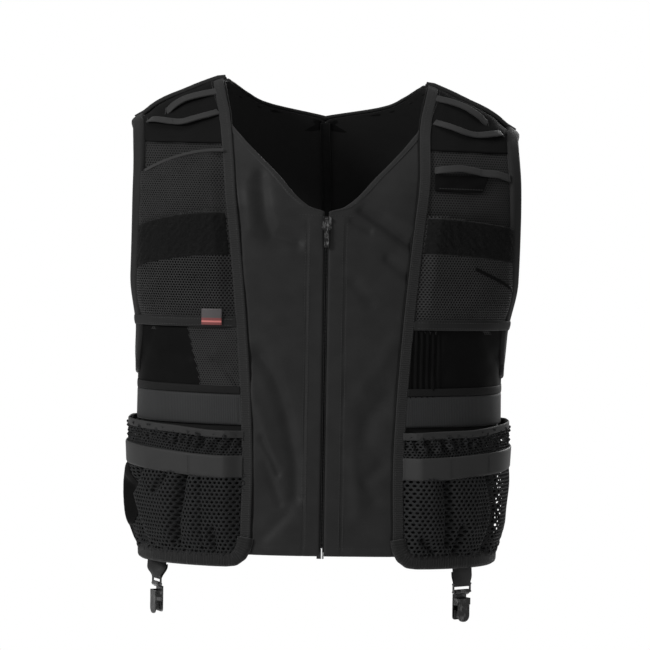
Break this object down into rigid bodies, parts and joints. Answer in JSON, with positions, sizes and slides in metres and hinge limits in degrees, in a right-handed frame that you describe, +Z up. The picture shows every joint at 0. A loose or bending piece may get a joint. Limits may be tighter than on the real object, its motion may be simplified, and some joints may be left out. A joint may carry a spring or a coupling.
{
  "type": "load-carrying safety vest",
  "caption": "Zip-front mesh utility vest with webbing loops, hook-and-loop chest patches, net cargo pockets and hanging belt clips.",
  "frame": {"origin": "midway between the two shoulder straps, at the height where a hanger or the shoulders carry them", "axes": "+X to the wearer's left, +Y to the wearer's back, +Z up; the zip faces -Y"},
  "size_m": [0.4096, 0.2404, 0.5612],
  "materials": {
    "nylon": "plain-woven coated nylon, satin",
    "mesh": "warp-knit polyester mesh",
    "lining": "smooth tricot",
    "net": "open hexagonal net",
    "tape": "ribbed grosgrain",
    "webbing": "flat polyester webbing",
    "elastic": "woven elastic",
    "hook_loop": "hook-and-loop pile",
    "zip_tape": "zip tape",
    "zip_teeth": "moulded",
    "zip_metal": "black enamel",
    "clip_metal": "black enamel",
    "clip_plastic": "moulded",
    "tag": "woven tag"
  },
  "bodies": {
    "back": {"back_mesh_middle": "mesh", "hang_loop": "webbing"},
    "left_half": {"armhole_binding_left": "tape", "back_mesh_left": "mesh", "belly_panel_left": "lining", "cargo_elastic_left": "elastic", "cargo_net_left": "net", "cargo_webbing_left": "webbing", "chest_band_left": "tape", "chest_pocket_left": "mesh", "edge_tape_left": "tape", "front_panel_left": "nylon", "hem_binding_left": "tape", "hook_loop_patch_left": "hook_loop", "mesh_panel_left": "mesh", "radio_flap_left": "nylon", "radio_loop_left": "webbing", "shoulder_loop_front_left": "webbing", "shoulder_loop_top_left": "webbing", "shoulder_pad_left": "lining", "waist_webbing_left": "webbing", "zip_pin_left": "zip_teeth", "zip_tape_left": "zip_tape", "zip_teeth_left": "zip_teeth"},
    "right_half": {"armhole_binding_right": "tape", "back_mesh_right": "mesh", "belly_panel_right": "lining", "cargo_elastic_right": "elastic", "cargo_net_right": "net", "cargo_webbing_right": "webbing", "chest_band_right": "tape", "chest_pocket_right": "mesh", "edge_tape_right": "tape", "front_panel_right": "nylon", "hem_binding_right": "tape", "hook_loop_patch_right": "hook_loop", "id_panel_right": "lining", "mesh_panel_right": "mesh", "shoulder_loop_front_right": "webbing", "shoulder_loop_top_right": "webbing", "shoulder_pad_right": "lining", "tag_right": "tag", "waist_webbing_right": "webbing", "zip_box_right": "zip_teeth", "zip_tape_right": "zip_tape", "zip_teeth_right": "zip_teeth"},
    "slider": {"zip_slider": "zip_metal"},
    "pull": {"zip_pull": "zip_metal"},
    "left_strap": {"clip_strap_left": "webbing"},
    "left_ring": {"clip_ring_left": "clip_metal"},
    "left_clip": {"clip_frame_left": "clip_metal", "clip_pad_left": "clip_plastic", "clip_pin_left": "clip_metal"},
    "left_lever": {"clip_lever_left": "clip_metal"},
    "right_strap": {"clip_strap_right": "webbing"},
    "right_ring": {"clip_ring_right": "clip_metal"},
    "right_clip": {"clip_frame_right": "clip_metal", "clip_pad_right": "clip_plastic", "clip_pin_right": "clip_metal"},
    "right_lever": {"clip_lever_right": "clip_metal"}
  },
  "joints": [
    {"name": "left_half_opening", "type": "hinge", "parent": "back", "child": "left_half", "pos_m": [0.026, 0.1126, -0.25], "axis": [0, 0, 1], "range_deg": [0, 45]},
    {"name": "right_half_opening", "type": "hinge", "parent": "back", "child": "right_half", "pos_m": [-0.026, 0.1126, -0.25], "axis": [0, 0, -1], "range_deg": [0, 45]},
    {"name": "slider_travel", "type": "slide", "parent": "right_half", "child": "slider", "axis": [0, 0, -1], "range_m": [0, 0.305]},
    {"name": "pull_swing", "type": "hinge", "parent": "slider", "child": "pull", "pos_m": [0, -0.1229, -0.139], "axis": [-1, 0, 0], "range_deg": [0, 150]},
    {"name": "left_strap_swing", "type": "hinge", "parent": "left_half", "child": "left_strap", "pos_m": [0.146, -0.07984, -0.4973], "axis": [-0.7843, -0.6204, 0], "range_deg": [-25, 50]},
    {"name": "left_ring_swing", "type": "hinge", "parent": "left_strap", "child": "left_ring", "pos_m": [0.146, -0.07984, -0.5143], "axis": [-0.7843, -0.6204, 0], "range_deg": [-35, 35]},
    {"name": "left_clip_swing", "type": "hinge", "parent": "left_ring", "child": "left_clip", "pos_m": [0.146, -0.07984, -0.5223], "axis": [-0.7843, -0.6204, 0], "range_deg": [-25, 25]},
    {"name": "left_lever_lift", "type": "hinge", "parent": "left_clip", "child": "left_lever", "pos_m": [0.14699, -0.0811, -0.5323], "axis": [-0.7843, -0.6204, 0], "range_deg": [0, 75]},
    {"name": "right_strap_swing", "type": "hinge", "parent": "right_half", "child": "right_strap", "pos_m": [-0.172, -0.04712, -0.4973], "axis": [-0.409, 0.9125, 0], "range_deg": [-25, 50]},
    {"name": "right_ring_swing", "type": "hinge", "parent": "right_strap", "child": "right_ring", "pos_m": [-0.172, -0.04712, -0.5143], "axis": [-0.409, 0.9125, 0], "range_deg": [-35, 35]},
    {"name": "right_clip_swing", "type": "hinge", "parent": "right_ring", "child": "right_clip", "pos_m": [-0.172, -0.04712, -0.5223], "axis": [-0.409, 0.9125, 0], "range_deg": [-25, 25]},
    {"name": "right_lever_lift", "type": "hinge", "parent": "right_clip", "child": "right_lever", "pos_m": [-0.17346, -0.04777, -0.5323], "axis": [-0.409, 0.9125, 0], "range_deg": [0, 75]}
  ]
}
